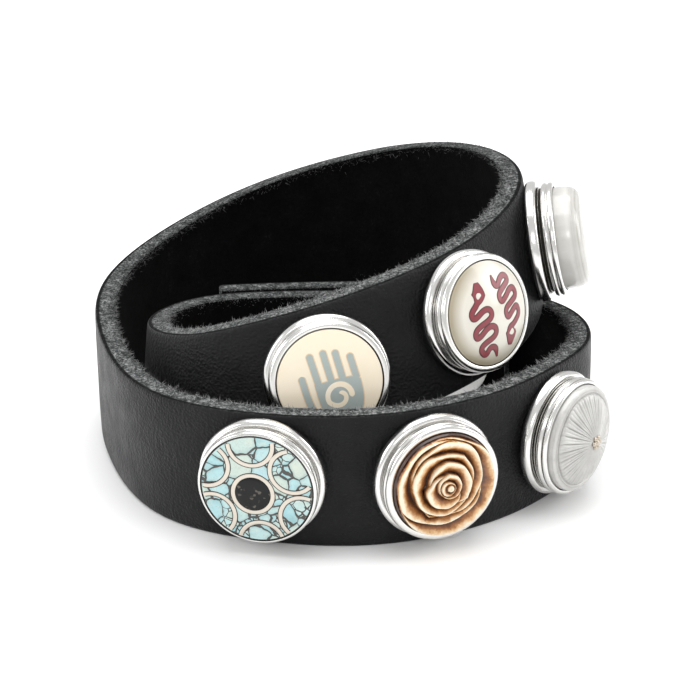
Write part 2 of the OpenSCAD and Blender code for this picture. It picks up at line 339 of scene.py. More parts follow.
def makeGrain():
    f = Finish("blackGrain", (0.006, 0.006, 0.0065), 0.4, IOR=1.45, Specular_IOR_Level=0.2,
               Sheen_Weight=0.07, Sheen_Roughness=0.35)
    p = f.coords()
    f.link(f.ramp(f.noise(p, 110.0), [(0.3, (0.005, 0.005, 0.0055)), (0.7, (0.01, 0.01, 0.0105))]))
    f.link(f.range(f.noise(p, 260.0, 4), 0.3, 0.7, 0.38, 0.52), "Roughness")
    pores = f.cells(p, 2200.0, "Distance", Randomness=0.95)
    fine = f.noise(p, 2800.0, 4, 0.6)
    squashed = f.node("ShaderNodeMapping", {"Vector": p, "Scale": (1.0, 1.0, 0.3)}).outputs["Vector"]
    creases = f.noise(squashed, 1300.0, 3, 0.6)
    height = f.math("ADD", f.math("ADD", f.math("MULTIPLY", pores, 0.8), fine), creases)
    # the grain shows more in some places than in others
    shows = f.range(f.noise(p, 60.0, 2), 0.35, 0.65, 0.35, 1.0)
    f.bump(f.math("MULTIPLY", height, shows), 0.9, 0.0002)
    return f.mat

def makeCutEdge():
    f = Finish("cutEdge", grey(0.06), 0.95, Specular_IOR_Level=0.15)
    p = f.coords()
    both = f.blend(f.noise(p, 2500.0, 5, 0.8), 0.75, f.noise(p, 700.0, 3, 0.6), 0.25)
    fibre = f.ramp(both, [(0.38, (0.006, 0.007, 0.007)), (0.5, (0.065, 0.07, 0.069)),
                          (0.62, (0.42, 0.43, 0.425))])
    dyed = f.ramp(f.attribute("depth"), [(0.0, grey(0.6)), (0.35, grey(1.0)), (0.72, grey(0.95)),
                                         (0.78, grey(0.05)), (0.9, grey(0.07)), (1.0, grey(0.55))])
    # painted shade: the edges darken toward the bracelet's back, where the inside of the loops lies in shade
    backShade = f.ramp(frontToBack(f, p, 0, 1), [(0.0, grey(1.0)), (0.5, grey(0.8)), (1.0, grey(0.75))])
    f.link(f.mix(1.0, f.mix(1.0, fibre, dyed, "MULTIPLY"), backShade, "MULTIPLY"))
    f.bump(both, 1.0, 0.0004)
    return f.mat

def makeNap():
    f = Finish("nappedSide", grey(0.004), 0.98, Specular_IOR_Level=0.08)
    p = f.coords()
    both = f.blend(f.noise(p, 1900.0, 5, 0.8), 0.6, f.noise(p, 260.0, 3, 0.6), 0.4)
    f.link(f.ramp(both, [(0.42, grey(0.001)), (0.6, grey(0.003)), (0.75, grey(0.02))]))
    f.bump(both, 0.8, 0.0003)
    return f.mat

def makeFibre():
    f = Finish("looseFibre", (0.2, 0.202, 0.202), 0.9, Specular_IOR_Level=0.15)
    p = f.coords()
    pale = f.ramp(f.noise(p, 900.0), [(0.35, grey(0.04)), (0.65, (0.42, 0.425, 0.42))])
    # painted shade: the fibres darken toward the bracelet's back, where the inside of the loops lies in shade
    f.link(f.mix(frontToBack(f, p, 0, 0.75), pale, grey(0.02)))
    return f.mat

def makeSilver(name, color, rough, wear):
    f = Finish(name, color, rough, 1.0)
    p = f.coords()
    f.link(f.range(f.noise(p, 120.0, 2), 0.3, 0.75, rough, rough + wear), "Roughness")
    f.link(f.mix(f.noise(p, 300.0, 2), color, tuple(c * 0.95 for c in color)))
    return f.mat

def cloudy(f, p, color, shade):
    return f.mix(f.range(f.noise(p, 180.0, 4, 0.6), 0.35, 0.75, 0, 1), color, shade)

def makeEnamel(name, color, shade):
    f = Finish(name, color, 0.34, Coat_Weight=0.4, Coat_Roughness=0.08)
    p = f.coords()
    f.link(cloudy(f, p, color, shade))
    f.bump(f.noise(p, 500.0, 2), 0.06, 0.00004)
    return f.mat

def makePearlDisc():
    # pearly enamel that turns a darker yellow-beige toward its rim, most on the left: painted shade beside
    # the lip
    f = Finish("pearlEnamel", (0.86, 0.84, 0.78), 0.2, Coat_Weight=0.4, Coat_Roughness=0.08)
    flat, far = f.fromMiddle()
    onSide = f.range(f.axis(flat, "X"), -0.2, 0.35, 0.9, 0.15)
    rimShade = f.math("MULTIPLY", f.range(far, 0.29, 0.385, 0, 1), onSide)
    cloud = cloudy(f, f.coords(), (0.68, 0.655, 0.59), (0.63, 0.6, 0.51))
    f.link(f.mix(rimShade, cloud, (0.33, 0.28, 0.19)))
    return f.mat

def makePearl():
    f = Finish("pearlGlass", (0.55, 0.54, 0.51), 0.2, Coat_Weight=0.4, Coat_Roughness=0.08,
               Subsurface_Weight=0.3, Subsurface_Scale=0.002, IOR=1.5)
    f.set("Subsurface Radius", (1.0, 1.0, 0.95))
    far = f.fromMiddle()[1]
    # faint rings, as on a turned bead
    rings = f.node("ShaderNodeTexNoise", {"W": f.math("MULTIPLY", far, 60.0), "Scale": 1.0, "Detail": 3.0},
                   noise_dimensions="1D").outputs["Fac"]
    cloud = f.blend(rings, 0.6, f.noise(f.coords(), 160.0, 4, 0.6), 0.4)
    f.link(f.ramp(cloud, [(0.35, (0.34, 0.33, 0.3)), (0.52, (0.49, 0.48, 0.45)),
                          (0.68, (0.6, 0.59, 0.56))]))
    return f.mat

def makeShell():
    f = Finish("shellMosaic", (0.55, 0.78, 0.78), 0.25, Coat_Weight=0.25, Coat_Roughness=0.08)
    flat = f.coords("UV")
    bent = f.mix(0.035, grey(0), f.noise(flat, 12.0, 1.0, out="Color"), "ADD")
    place = f.vector("ADD", flat, bent)

    def chips(scale):
        # distance to the chip's edge, and a color that tells one chip from the next
        return f.cells(place, scale, "Distance", "DISTANCE_TO_EDGE"), f.cells(place, scale, "Color")

    # large chips, and a quarter of them broken into small ones
    edge, chip = chips(6.9)
    smallEdge, smallChip = chips(15.0)
    broken = f.math("GREATER_THAN", f.channel(chip, "Blue"), 0.74)
    tint = f.channel(f.mix(broken, chip, smallChip), "Red")
    shell = f.ramp(tint, [(0.0, (0.32, 0.56, 0.6)), (0.3, (0.4, 0.61, 0.63)), (0.55, (0.46, 0.62, 0.6)),
                          (0.8, (0.52, 0.6, 0.53)), (1.0, (0.36, 0.59, 0.65))])
    shell = f.mix(f.range(f.noise(place, 14.0, 4, 0.6), 0.5, 0.72, 0, 0.6), shell, (0.6, 0.64, 0.55))
    # hair-thin veins
    hair = f.math("ABSOLUTE", f.math("SUBTRACT", f.noise(place, 17.0, 5.0, 0.7), 0.5))
    shell = f.mix(f.range(hair, 0.0, 0.01, 0.5, 0), shell, (0.2, 0.22, 0.2))
    # painted shade: the chips darken towards their edges, next to the resin
    shell = f.mix(f.range(edge, 0.02, 0.16, 0.5, 0), shell, (0.2, 0.36, 0.37))

    # dark resin between the chips, wider in some places than in others, and round the rim
    spread = f.noise(flat, 10.0, 2)

    def gap(toEdge, narrow, wide):
        return f.math("LESS_THAN", toEdge, f.range(spread, 0.35, 0.65, narrow, wide))

    smallGap = f.math("MULTIPLY", broken, gap(smallEdge, 0.03, 0.08))
    rim = f.math("GREATER_THAN", f.fromMiddle()[1], 0.421)
    resin = f.math("MAXIMUM", f.math("MAXIMUM", gap(edge, 0.018, 0.06), smallGap), rim)
    f.link(f.mix(resin, shell, (0.045, 0.043, 0.038)))
    f.bump(f.math("SUBTRACT", 1.0, resin), 0.2, 0.00005)
    return f.mat

def makeStone():
    # black, with a few pale flecks
    stoneBlack = (0.008, 0.008, 0.009)
    f = Finish("blackStone", stoneBlack, 0.2, Specular_IOR_Level=0.25)
    fleck = f.channel(f.cells(f.coords(), 2600.0, "Color"), "Red")
    f.link(f.mix(f.range(fleck, 0.93, 0.95, 0, 1), stoneBlack, (0.1, 0.09, 0.075)))
    return f.mat

def makeCarved():
    # cream, stained brown in its hollows, with painted shade there too that deepens to near black in the
    # crevices
    f = Finish("carvedCream", (0.82, 0.7, 0.52), 0.32, Coat_Weight=0.4, Coat_Roughness=0.08)
    p = f.coords()
    stainAndShade = f.math("ADD", f.attribute("hollow"), f.range(f.noise(p, 420.0, 5, 0.7), 0.3, 0.7, -0.2, 0.2))
    f.link(f.ramp(stainAndShade, [(0.16, (0.84, 0.75, 0.58)), (0.36, (0.68, 0.42, 0.2)), (0.52, (0.36, 0.145, 0.038)),
                          (0.74, (0.13, 0.042, 0.011)), (0.95, (0.04, 0.014, 0.007))]))
    f.bump(f.noise(p, 700.0, 5, 0.65), 0.35, 0.00014)
    return f.mat

def makeRibbed():
    f = Finish("ribbedSilver", (0.6, 0.6, 0.58), 0.36, 0.15, Coat_Weight=0.3, Coat_Roughness=0.12)
    p = f.coords()
    pale = f.ramp(f.noise(p, 350.0, 5, 0.7), [(0.3, (0.42, 0.415, 0.4)), (0.65, (0.54, 0.535, 0.515))])
    # darker in the grooves and on the rings marked in the profile
    f.link(f.mix(f.range(f.attribute("groove"), 0.1, 1.0, 0, 0.55), pale, (0.3, 0.29, 0.27)))
    f.bump(f.noise(p, 1500.0), 0.1, 0.00005)
    return f.mat

def makePaint(name, color, shade, rough=0.3):
    f = Finish(name, color, rough, Coat_Weight=0.3, Coat_Roughness=0.1)
    f.link(f.mix(f.noise(f.coords(), 900.0, 4, 0.7), color, shade))
    return f.mat

def makePatina():
    # dull black tarnish in the grooves of the silver
    f = Finish("groovePatina", (0.012, 0.011, 0.01), 0.7, Specular_IOR_Level=0.12)
    f.link(f.mix(f.noise(f.coords(), 700.0, 4, 0.7), (0.009, 0.008, 0.007), (0.024, 0.02, 0.015)))
    return f.mat

grain, cutEdge, nap, fibreMat = makeGrain(), makeCutEdge(), makeNap(), makeFibre()
ringSilver = makeSilver("polishedSilver", (0.78, 0.773, 0.757), 0.17, 0.03)
bezelSilver = makeSilver("bezelSilver", (0.75, 0.742, 0.72), 0.2, 0.04)
wireSilver = makeSilver("silverWire", (0.64, 0.585, 0.51), 0.3, 0.12)
creamEnamel = makeEnamel("creamEnamel", (0.93, 0.83, 0.66), (0.92, 0.8, 0.61))
spiralEnamel = makeEnamel("spiralEnamel", (0.96, 0.88, 0.72), (0.92, 0.76, 0.54))
pearlEnamel, pearlGlass, shellMosaic, blackStone = makePearlDisc(), makePearl(), makeShell(), makeStone()
carvedCream, ribbedSilver = makeCarved(), makeRibbed()
paleGold = makeSilver("paleGold", (0.52, 0.46, 0.39), 0.24, 0.1)
handPaint = makePaint("handPaint", (0.42, 0.47, 0.45), (0.36, 0.42, 0.41))
# tan painted shade for the band round the hand
handShadeEdge = makePaint("handShadeEdge", (0.84, 0.66, 0.44), (0.7, 0.5, 0.3))
snakePaint = makePaint("snakePaint", (0.23, 0.03, 0.04), (0.19, 0.02, 0.03), 0.4)
snakeEdge = makePaint("snakeEdge", (0.05, 0.008, 0.01), (0.08, 0.018, 0.016), 0.5)
groovePatina = makePatina()
print("materials ready")

# the strap: a flat strip with rounded edges, wound along its route
strapLook = {"alongCuts": 430, "acrossCuts": 14, "edgeRound": 0.45, "rimCuts": (-0.9, -0.35, 0.25, 0.8),
             # two runs lie close together within this distance of the strap's ends
             "closeRun": 62,
             # how proud the nap stands along the upper edge, where it's free and where it's pressed
             "napProud": 0.55, "napPressed": 0.1, "napReach": 1.3,
             "napRough": 0.1, "rimRough": 0.13, "grainDome": 0.12, "rimZone": 0.6,
             # how far the raised front's top edge falls toward the smooth side, in full from this lean
             "slant": 0.75, "fullLean": 9,
             # the nap that hangs at the back
             "hang": 0.75, "hangRow": 16.6, "hangReach": 24}
halfW, halfT = strap["width"] / 2, strap["thick"] / 2
hangAt = lengths[int(strapLook["hangRow"] * strap["steps"])]

deselectAll()
bpy.ops.mesh.primitive_grid_add(x_subdivisions=strapLook["alongCuts"], y_subdivisions=strapLook["acrossCuts"],
                                size=1, location=(0, 0, 0))
strip = bpy.context.object
strip.name = "strap_leather"
editAll(strip)
bpy.ops.transform.resize(value=(strapLength, strap["width"], 1), center_override=(0, 0, 0))
bpy.ops.transform.translate(value=(strapLength / 2, 0, 0))
leaveEdit()
applyModifier(strip, "SOLIDIFY", thickness=strap["thick"], offset=0)
applyModifier(strip, "BEVEL", width=strapLook["edgeRound"], segments=3, limit_method="ANGLE",
              angle_limit=radians(60))
for cut in strapLook["rimCuts"]:
    editAll(strip)
    bpy.ops.mesh.bisect(plane_co=(0, 0, cut), plane_no=(0, 0, 1))
    leaveEdit()

for m in (grain, cutEdge, nap):
    strip.data.materials.append(m)
for face in strip.data.polygons:
    if face.normal.z < -0.8:
        face.material_index = 2
    else:
        onGrain = face.normal.z > 0.8 or face.center.z > halfT - 0.3
        face.material_index = 0 if onGrain else 1

def liesClose(s):
    return s < strapLook["closeRun"] or s > strapLength - strapLook["closeRun"]

def wornPoint(s, w, u, fall):
    # s, w and u run along, across and through the strap. the point moves with the nap, the rough rim, the
    # domed smooth side and the edges that fall over
    look = strapLook
    fromEdge, upper, lower = halfW - abs(w), w > 0, w < 0
    wobble = noise.noise(Vector((s * 0.9, w * 0.9, u * 0.9)))
    coarse = noise.noise(Vector((s * 0.22, w * 0.22, u * 0.5 + 7)))
    napSide = min(1, max(0, (0.6 - u) / 1.6))
    if u < -0.4:
        close = liesClose(s)
        proud = look["napPressed"] if close or lower else look["napProud"]
        proud *= exp(-(fromEdge / look["napReach"]) ** 2)
        swell = proud * (0.8 + 0.5 * coarse) * min(1, (-0.4 - u) / 0.8)
        u -= swell + look["napRough"] * wobble * (0.3 if close else 1)
    if fromEdge < 0.5 and abs(u) < halfT - 0.2:
        if upper:
            w += look["rimRough"] * (wobble + 0.6 * coarse) * napSide - 0.05
    elif u > 0:
        u += look["grainDome"] * (1 - (w / halfW) ** 4) - 0.06
    if fromEdge < look["rimZone"] and upper:
        w -= fall
    if fromEdge < look["rimZone"] and lower and u < 0.2:
        w -= look["hang"] * exp(-((s - hangAt) / look["hangReach"]) ** 2)
    return w, u

frames, depths = {}, []
for v in strip.data.vertices:
    s, w, u = v.co
    depths.append((u + halfT) / strap["thick"])
    key = round(s, 2)
    if key not in frames:
        t = stationAt(s)
        leaning = min(1, max(0, station(t)[3]) / strapLook["fullLean"])
        frames[key] = (*strapFrame(t), strapLook["slant"] * leaning)
    _, up, out, mid, slant = frames[key]
    w, u = wornPoint(s, w, u, slant * depths[-1])
    v.co = (mid + up * w + out * u) * mm
strip.data.update()
markPoints(strip, "depth", depths)
makeActive(strip)
bpy.ops.object.shade_smooth()
finish(strip, "strap_leather", Matrix.Identity(4), None, "band", ["strap"])
print("strap wound:", len(strip.data.polygons), "faces")

# loose fibres that stand on the cut edge and the napped side, each a closed needle of three sides
fibres = {"count": 15000, "seed": 7, "length": (0.2, 1.05), "width": 0.075, "onTop": 0.88, "onEdge": 0.5,
          # how far a fibre leans any way, and its length where two runs lie close, below and on the edge
          "lean": 0.75, "closeShare": 0.4, "lowerShare": 0.3, "edgeShare": 0.55}
random.seed(fibres["seed"])
points, faces = [], []
for _ in range(fibres["count"]):
    s = random.uniform(1, strapLength - 1)
    close = liesClose(s)
    topEdge = random.random() < fibres["onTop"]
    onEdge = random.random() < fibres["onEdge"]
    along, up, out, mid = strapFrame(stationAt(s))
    if onEdge:
        u, w = random.uniform(-halfT - 0.3, 0.6), halfW - 0.1
    else:
        u, w = -halfT - (0.05 if close else 0.35), halfW - abs(random.gauss(0, 0.6)) - 0.1
    root = mid + up * (w if topEdge else -w) + out * u
    lean = Vector((random.gauss(0, 1), random.gauss(0, 1), random.gauss(0, 1))) * fibres["lean"]
    inward = random.uniform(0.1, 0.7) if onEdge else random.uniform(0.6, 1.6)
    way = (up * (random.uniform(0.2, 0.9) if topEdge else 0.05) - out * inward + lean).normalized()
    length = random.uniform(*fibres["length"]) ** 1.5 * (fibres["closeShare"] if close else 1)
    length *= 1 if topEdge else fibres["lowerShare"]
    length *= fibres["edgeShare"] if onEdge else 1
    # three corners round the root and the tip
    sideA = way.cross(along + Vector((0.01, 0.02, 0.03))).normalized() * fibres["width"] / 2
    sideB = way.cross(sideA).normalized() * fibres["width"] / 2
    corners = (root + sideA, root - sideA * 0.5 + sideB * 0.87, root - sideA * 0.5 - sideB * 0.87,
               root + way * length)
    n = len(points)
    points += [tuple(corner * mm) for corner in corners]
    faces += [(n, n + 2, n + 1), (n, n + 1, n + 3), (n + 1, n + 2, n + 3), (n + 2, n, n + 3)]
fuzz = meshPiece("strap_fibres", points, faces)
finish(fuzz, "strap_fibres", Matrix.Identity(4), fibreMat, "band")
print("fibres:", len(faces), "faces")

# snap bases: a ring with a socket and the rivet's head, turned once and copied to each charm
base = {"radius": 9.8, "height": 1.9, "gap": 0.15, "recess": 8.7, "recessDepth": 0.6,
        "shank": 2.2, "shankFoot": -4.1, "socket": 2.6, "socketDepth": 1.2}
low = base["gap"]
top = low + base["height"]
ringR, recessR = base["radius"], base["recess"]
recessFloor, socketFloor = top - base["recessDepth"], top - base["socketDepth"]
# points: radius, height
ringProfile = ([(base["shank"], base["shankFoot"]), (base["shank"], low), (ringR - 0.75, low)]
               + arcPoints(ringR - 0.7, low + 0.7, 0.7, 0.68, -75, 10, 7)
               + arcPoints(ringR - 0.62, low + 0.95, 0.62, 0.9, 15, 88, 8)
               + [(ringR - 1.15, top - 0.02), (recessR + 0.06, top - 0.04), (recessR, top - 0.12),
                  (recessR, recessFloor), (base["socket"], recessFloor), (base["socket"], socketFloor),
                  (0.3, socketFloor)])
headProfile = [(0.3, -4.84), (3.1, -4.84), (3.65, -4.76), (3.95, -4.55), (4.0, -4.3), (3.98, -4.07),
               (2.1, -4.05)]
ringPattern = turned("ringPattern", ringProfile, 128)
headPattern = turned("headPattern", headProfile, 72)
for name in charmNames:
    for pattern, part, nodes in ((ringPattern, "_ring", [name + "_base"]), (headPattern, "_rivet", [])):
        piece = copyOf(pattern)
        smoothByAngle(piece, 38)
        finish(piece, name + part, charmPlace[name], ringSilver, "band", nodes)
for pattern in (ringPattern, headPattern):
    bpy.data.objects.remove(pattern)

# bezels: a cup on a neck, with a fine line round the neck and one under the lip
bezel = {"radius": 9.2, "height": 1.9, "groove": 0.7, "cup": 1.1,
         # each charm's lip has its own thickness, and a dark seam between it and the inlay
         "lips": {"hand": 0.95, "snake": 0.95, "pearl": 0.8, "mosaic": 0.5, "rose": 0.95, "rib": 0.7},
         "seams": {"hand": 0.22, "snake": 0.2, "pearl": 0.13, "mosaic": 0.13, "rose": 0.13, "rib": 0.13}}
foot = top + bezel["groove"]
lip = foot + bezel["height"]
cupFloor = lip - bezel["cup"]
inlayFloor = cupFloor + 0.05
r = bezel["radius"]
neck = base["recess"] - 0.3

def bezelProfile(lipThick):
    # points: radius, height
    return ([(2.5, top - 1.05), (2.5, top - 0.45), (neck, top - 0.45), (neck, top + 0.1),
             (neck + 0.2, top + 0.13), (neck + 0.32, top + 0.22), (neck + 0.2, top + 0.31),
             (neck, top + 0.34), (neck, foot), (r - 0.5, foot)]
            + arcPoints(r - 0.42, foot + 0.45, 0.42, 0.44, -75, 55, 9)
            + [(r - 0.24, foot + 0.9), (r - 0.23, foot + 0.96)]
            + arcPoints(r - 0.5, foot + 1.36, 0.48, 0.53, -50, 85, 11)
            + [(r - lipThick + 0.1, lip), (r - lipThick + 0.02, lip - 0.03), (r - lipThick, lip - 0.1),
               (r - lipThick, cupFloor), (0.3, cupFloor)])

inlayRadius = {}
for name in charmNames:
    lipThick = bezel["lips"][name]
    inlayRadius[name] = r - lipThick - bezel["seams"][name]
    cup = turned("cup", bezelProfile(lipThick), 128)
    smoothByAngle(cup, 35)
    # the neck, apart from the fine line on it, and the inside of the cup are dark with patina
    cup.data.materials.append(bezelSilver)
    cup.data.materials.append(groovePatina)
    for face in cup.data.polygons:
        across, z = hypot(face.center.x, face.center.y), face.center.z
        onNeck = top - 0.5 < z < foot - 0.05 and not top + 0.1 < z < top + 0.34
        inCup = across < r - lipThick + 0.01 and z > foot
        face.material_index = 1 if onNeck or inCup else 0
    finish(cup, name + "_cup", charmPlace[name], None, name + "_charm", [name + "_bezel"])
print("rings and bezels placed")

# inlays
def mappedDisc(name, profile, degrees):
    # a turned disc that has its own plane as its UV map
    disc = turned(name, profile)
    localUv(disc)
    smoothByAngle(disc, degrees)
    return disc

def finishInlay(obj, charm, name, material, nodes=()):
    finish(obj, name, charmPlace[charm], material, charm + "_charm", nodes)

# hand: a flat cream disc, a hand painted on it with a tan band of painted shade round it, and a spiral in its
# palm
# edge: how far the band of painted shade reaches beyond the hand
hand = {"bar": 0.98, "edge": 0.3, "paint": 0.06, "palmPaint": 0.075,
        # columns: x and y of the finger's foot, x and y of its tip
        "fingers": [(-1.75, -0.6, -1.95, 5.0), (0.25, -0.6, 0.15, 5.0), (2.0, -0.6, 1.95, 4.5),
                    (4.05, -0.6, 3.95, 3.35)],
        "palm": [(-2.35, 0.2), (4.55, 0.0), (4.55, -2.2), (4.2, -4.2), (3.4, -5.8), (2.2, -6.6), (-0.6, -6.6),
                 (-1.6, -5.8), (-2.2, -4.0), (-2.35, -2.0)],
        "thumb": [(-4.0, 2.05), (-3.85, -3.4), (-2.6, -5.4)],
        # the spiral keeps its outer radius for so many turns, then winds in
        "spiral": {"centre": (0.85, -2.55), "start": -0.35, "turns": 1.3, "keeps": 0.6, "outer": 1.85,
                   "inner": 0.42, "width": 0.88, "points": 120}}
handTop = lip - 0.02
handR = inlayRadius["hand"]
handProfile = [(handR - 0.15, inlayFloor), (handR, inlayFloor + 0.15), (handR, handTop - 0.1),
               (handR - 0.1, handTop), (handR * 0.5, handTop + 0.02), (0.2, handTop + 0.02)]
disc = mappedDisc("handDisc", handProfile, 30)
finishInlay(disc, "hand", "hand_inlay", creamEnamel, ["hand_disc"])

def ribbon(name, path, width, taper, zAt, thick):
    # a flat band of paint along a path, on the height that zAt gives, closed underneath
    pts, quads = [], []
    n = len(path)
    for k, (x, y) in enumerate(path):
        way = (Vector(path[min(n - 1, k + 1)]) - Vector(path[max(0, k - 1)])).normalized()
        side = Vector((-way.y, way.x))
        half = taper(k / (n - 1)) * width / 2
        for sign in (-1, 1):
            px, py = x + side.x * half * sign, y + side.y * half * sign
            h = zAt(px, py)
            pts += [(px, py, h + thick), (px, py, h - 0.1)]
    for k in range(n - 1):
        i, j = 4 * k, 4 * (k + 1)
        quads += [(i, i + 2, j + 2, j), (i + 1, j + 1, j + 3, i + 3), (i, j, j + 1, i + 1),
                  (i + 2, i + 3, j + 3, j + 2)]
    last = 4 * (n - 1)
    quads += [(0, 1, 3, 2), (last, last + 2, last + 3, last + 1)]
    obj = meshPiece(name, pts, quads)
    facesOutward(obj)
    return obj

def joined(name, parts):
    deselectAll()
    for part in parts:
        part.select_set(True)
    bpy.context.view_layer.objects.active = parts[0]
    bpy.ops.object.join()
    parts[0].name = name
    return parts[0]

def roundEnds(t, share):
    # half width along a band, falling to nothing in a half circle over the given share at each end
    e = min(t, 1 - t) / share
    return sqrt(max(0.02, 1 - (1 - min(1, e)) ** 2))

def evenPath(path, step=0.1):
    # the same path with its points at equal distances
    total = [0.0]
    for (ax, ay), (bx, by) in zip(path, path[1:]):
        total.append(total[-1] + hypot(bx - ax, by - ay))
    count = max(2, int(total[-1] / step))
    out, k = [], 0
    for i in range(count + 1):
        want = total[-1] * i / count
        while k < len(path) - 2 and total[k + 1] < want:
            k += 1
        share = (want - total[k]) / max(1e-9, total[k + 1] - total[k])
        (ax, ay), (bx, by) = path[k], path[k + 1]
        out.append((ax + (bx - ax) * share, ay + (by - ay) * share))
    return out, total[-1]

def smoothPath(corners, rounds=3):
    # corners cut again and again until the path is a curve
    for _ in range(rounds):
        out = [corners[0]]
        for (ax, ay), (bx, by) in zip(corners, corners[1:]):
            out.append((ax * 0.75 + bx * 0.25, ay * 0.75 + by * 0.25))
            out.append((ax * 0.25 + bx * 0.75, ay * 0.25 + by * 0.75))
        corners = out + [corners[-1]]
    return corners

def handShape(grow, z):
    # fingers, thumb and palm, each wider by grow than the painted hand
    bar = hand["bar"] + grow

    def stroke(name, path, taper):
        return ribbon(name, path, bar, taper, lambda x, y: z, hand["paint"])

    parts = []
    for footX, footY, tipX, tipY in hand["fingers"]:
        path, length = evenPath([(footX, footY), (tipX, tipY + grow / 2)])
        parts.append(stroke("finger", path, lambda t, L=length: roundEnds(max(t, 0.5), bar / 2 / L)))
    thumbPath = evenPath(smoothPath(hand["thumb"]))[0]
    parts.append(stroke("thumb", thumbPath, lambda t: roundEnds(max(1 - t, 0.5), 0.07)))
    loop = smoothPath(hand["palm"] + hand["palm"][:1], 2)[:-1]
    midX, midY = sum(x for x, y in loop) / len(loop), sum(y for x, y in loop) / len(loop)
    out = []
    for x, y in loop:
        far = hypot(x - midX, y - midY)
        out.append((x + (x - midX) / far * grow / 2, y + (y - midY) / far * grow / 2))
    count = len(out)
    points = [(x, y, z + hand["palmPaint"]) for x, y in out] + [(x, y, z - 0.1) for x, y in out]
    faces = [tuple(range(count)), tuple(reversed(range(count, 2 * count)))] + ringFaces(0, count, count)
    palm = meshPiece("palm", points, faces)
    facesOutward(palm)
    return joined("hand", parts + [palm])

# painted shade: a tan band round the hand, standing in for the shaded sides of its relief
finishInlay(handShape(hand["edge"], handTop - 0.03), "hand", "hand_shade_edge", handShadeEdge)
finishInlay(handShape(0, handTop), "hand", "hand_mark", handPaint)
swirl = hand["spiral"]
spiralPath = []
for k in range(swirl["points"] + 1):
    turn = swirl["turns"] * k / swirl["points"]
    wound = max(0, (turn - swirl["keeps"]) / (swirl["turns"] - swirl["keeps"]))
    away = swirl["outer"] - (swirl["outer"] - swirl["inner"]) * wound ** 0.8
    angle = swirl["start"] + 2 * pi * turn
    spiralPath.append((swirl["centre"][0] + away * cos(angle), swirl["centre"][1] + away * sin(angle)))
spiral = ribbon("spiral", evenPath(spiralPath)[0], swirl["width"],
                lambda t: roundEnds(t, 0.05) * (1 - 0.25 * t), lambda x, y: handTop + 0.04, hand["paint"])
finishInlay(spiral, "hand", "hand_spiral", spiralEnamel)

# snakes: a crowned disc with two winding snakes that lie on the crown
snakes = {"crown": 1.4, "rim": 0.1, "body": 0.76, "edge": 0.28, "nose": 0.5, "eye": 0.52,
          # distances from the nose to the widest part of the head, to the eye and to the neck
          "headAt": 1.9, "eyeAt": 2.1, "neckAt": 3.3,
          "head": 2.35, "tail": 1.4,
          # each snake from its nose to its tail
          "left": [(-1.3, 5.6), (-1.7, 3.6), (-2.7, 2.5), (-4.2, 1.7), (-4.1, 0.4), (-1.6, 1.4), (-0.4, 0.8),
                   (-0.6, -0.5), (-3.8, -0.9), (-4.5, -1.8), (-4.1, -2.7), (-1.7, -1.4), (-0.3, -2.0),
                   (-0.5, -3.4), (-3.4, -3.8), (-4.0, -4.6), (-3.2, -5.8), (-2.1, -4.7), (-1.0, -5.2),
                   (-1.0, -6.8)],
          "right": [(2.1, -6.2), (2.8, -4.4), (3.0, -3.5), (4.3, -3.1), (5.7, -2.3), (5.5, -0.8), (4.2, -1.2),
                    (2.6, -2.0), (2.5, -0.4), (4.3, 0.1), (6.0, 0.5), (5.9, 1.9), (4.8, 2.1), (3.4, 1.3),
                    (2.1, 0.9), (2.0, 2.3), (3.7, 2.9), (5.3, 3.4), (4.8, 4.5), (3.6, 4.4), (2.4, 3.4),
                    (1.9, 4.0), (2.0, 5.5)]}
snakeR = inlayRadius["snake"]
ball = (snakeR ** 2 + snakes["crown"] ** 2) / (2 * snakes["crown"])

def crownAt(x, y):
    return lip + snakes["rim"] + snakes["crown"] - ball + sqrt(max(0, ball ** 2 - x * x - y * y))

crownProfile = [(snakeR - 0.1, inlayFloor), (snakeR, inlayFloor + 0.1), (snakeR, lip + 0.02)]
crownProfile += [(snakeR * k / 14, crownAt(snakeR * k / 14, 0)) for k in range(13, 0, -1)]
crownProfile += [(0.15, crownAt(0, 0))]
disc = mappedDisc("snakeDisc", crownProfile, 40)
finishInlay(disc, "snake", "snake_inlay", pearlEnamel, ["snake_disc"])
snakePaths = [evenPath(smoothPath(snakes[side])) for side in ("left", "right")]

def snakeWidth(far, length):
    # a pointed nose, a broad head, then an even body and a pointed tail
    nose, body, head = snakes["nose"], snakes["body"], snakes["head"]
    if far < snakes["headAt"]:
        return nose + (head - nose) * (far / snakes["headAt"]) ** 0.8
    if far < snakes["neckAt"]:
        return head + (body - head) * (far - snakes["headAt"]) / (snakes["neckAt"] - snakes["headAt"])
    return body * min(1, (length - far) / snakes["tail"] + 0.1)

def snakePair(name, grow, thick, material):
    parts = []
    for path, length in snakePaths:
        wide = lambda t, L=length: snakeWidth(t * L, L) + grow
        parts.append(ribbon("snake", path, 1, wide, crownAt, thick))
    finishInlay(joined(name, parts), "snake", name, material)

snakePair("snake_edge", snakes["edge"], 0.035, snakeEdge)
snakePair("snake_mark", 0, 0.07, snakePaint)
eyeParts = []
for path, length in snakePaths:
    ex, ey = path[int(len(path) * snakes["eyeAt"] / length)]
    eyeR, h = snakes["eye"], crownAt(ex, ey)
    eye = turned("eye", [(eyeR, h - 0.1), (eyeR, h + 0.09), (0.3, h + 0.1), (0.05, h + 0.1)], 20)
    moveFlat(eye, ex, ey)
    eyeParts.append(eye)
eyeMark = joined("snake_eyes", eyeParts)
localUv(eyeMark)
finishInlay(eyeMark, "snake", "snake_eyes", pearlEnamel)
print("hand and snakes drawn")

